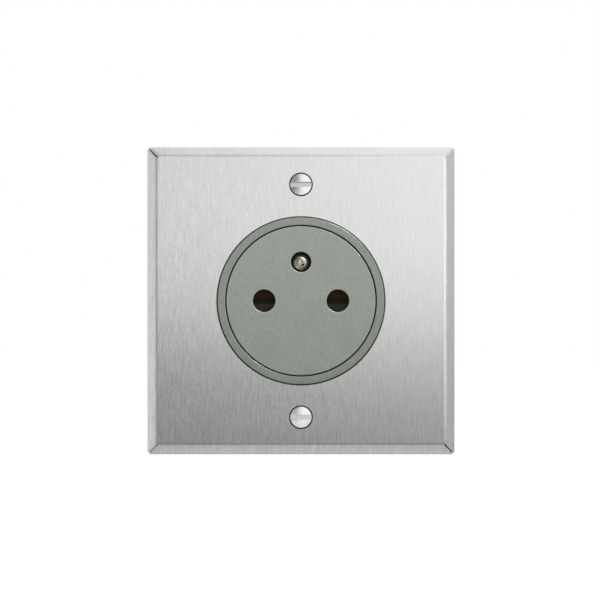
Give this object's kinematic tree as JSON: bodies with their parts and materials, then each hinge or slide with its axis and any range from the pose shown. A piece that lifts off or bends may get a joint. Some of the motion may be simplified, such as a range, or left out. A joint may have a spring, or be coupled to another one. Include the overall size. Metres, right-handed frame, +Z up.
{
  "type": "earthed wall socket",
  "caption": "Square metal wall socket with a flush round face that sinks on a spring as a plug goes in, a fixed earth pin and a sliding shutter behind the pin holes.",
  "frame": {"origin": "on the plug axis, in the plane of the wall surface, midway between the two fixing screws", "axes": "+X to the right and +Z up as seen from the room, +Y into the wall"},
  "size_m": [0.08, 0.0373, 0.08],
  "materials": {
    "plate_steel": "vertically brushed stainless sheet",
    "screw_nickel": "polished plated screw",
    "frame_zinc": "zinc-plated pressed steel",
    "face_grey": "satin moulded plastic",
    "shutter_dark": "dark moulded plastic",
    "inner_grey": "grey moulded plastic",
    "base_black": "black moulded thermoset",
    "contact_brass": "stamped brass",
    "pin_nickel": "turned brass, nickel plated",
    "spring_wire": "drawn spring wire"
  },
  "bodies": {
    "housing": {"cover_plate": "plate_steel", "fixing_screws": "screw_nickel", "mounting_frame": "frame_zinc", "well_sleeve": "face_grey", "return_spring": "spring_wire", "base_block": "base_black", "rear_cover": "base_black", "housing_screws": "frame_zinc", "live_contact": "contact_brass", "neutral_contact": "contact_brass", "live_grip_ring": "spring_wire", "neutral_grip_ring": "spring_wire", "earth_pin": "pin_nickel", "earth_strap": "contact_brass", "live_clamp": "contact_brass", "neutral_clamp": "contact_brass", "earth_clamp": "contact_brass", "terminal_screws": "frame_zinc"},
    "face": {"face_disc": "face_grey", "shutter_retainer": "inner_grey", "shutter_spring": "spring_wire"},
    "shutter": {"shutter": "shutter_dark"}
  },
  "joints": [
    {"name": "face_slide", "type": "slide", "parent": "housing", "child": "face", "axis": [0, 1, 0], "range_m": [0, 0.015], "stiffness_N_per_m": 250, "springref_m": -0.02, "deforming": ["return_spring"]},
    {"name": "shutter_slide", "type": "slide", "parent": "face", "child": "shutter", "axis": [0, 0, -1], "range_m": [0, 0.0062], "stiffness_N_per_m": 120, "springref_m": -0.006, "deforming": ["shutter_spring"]}
  ]
}
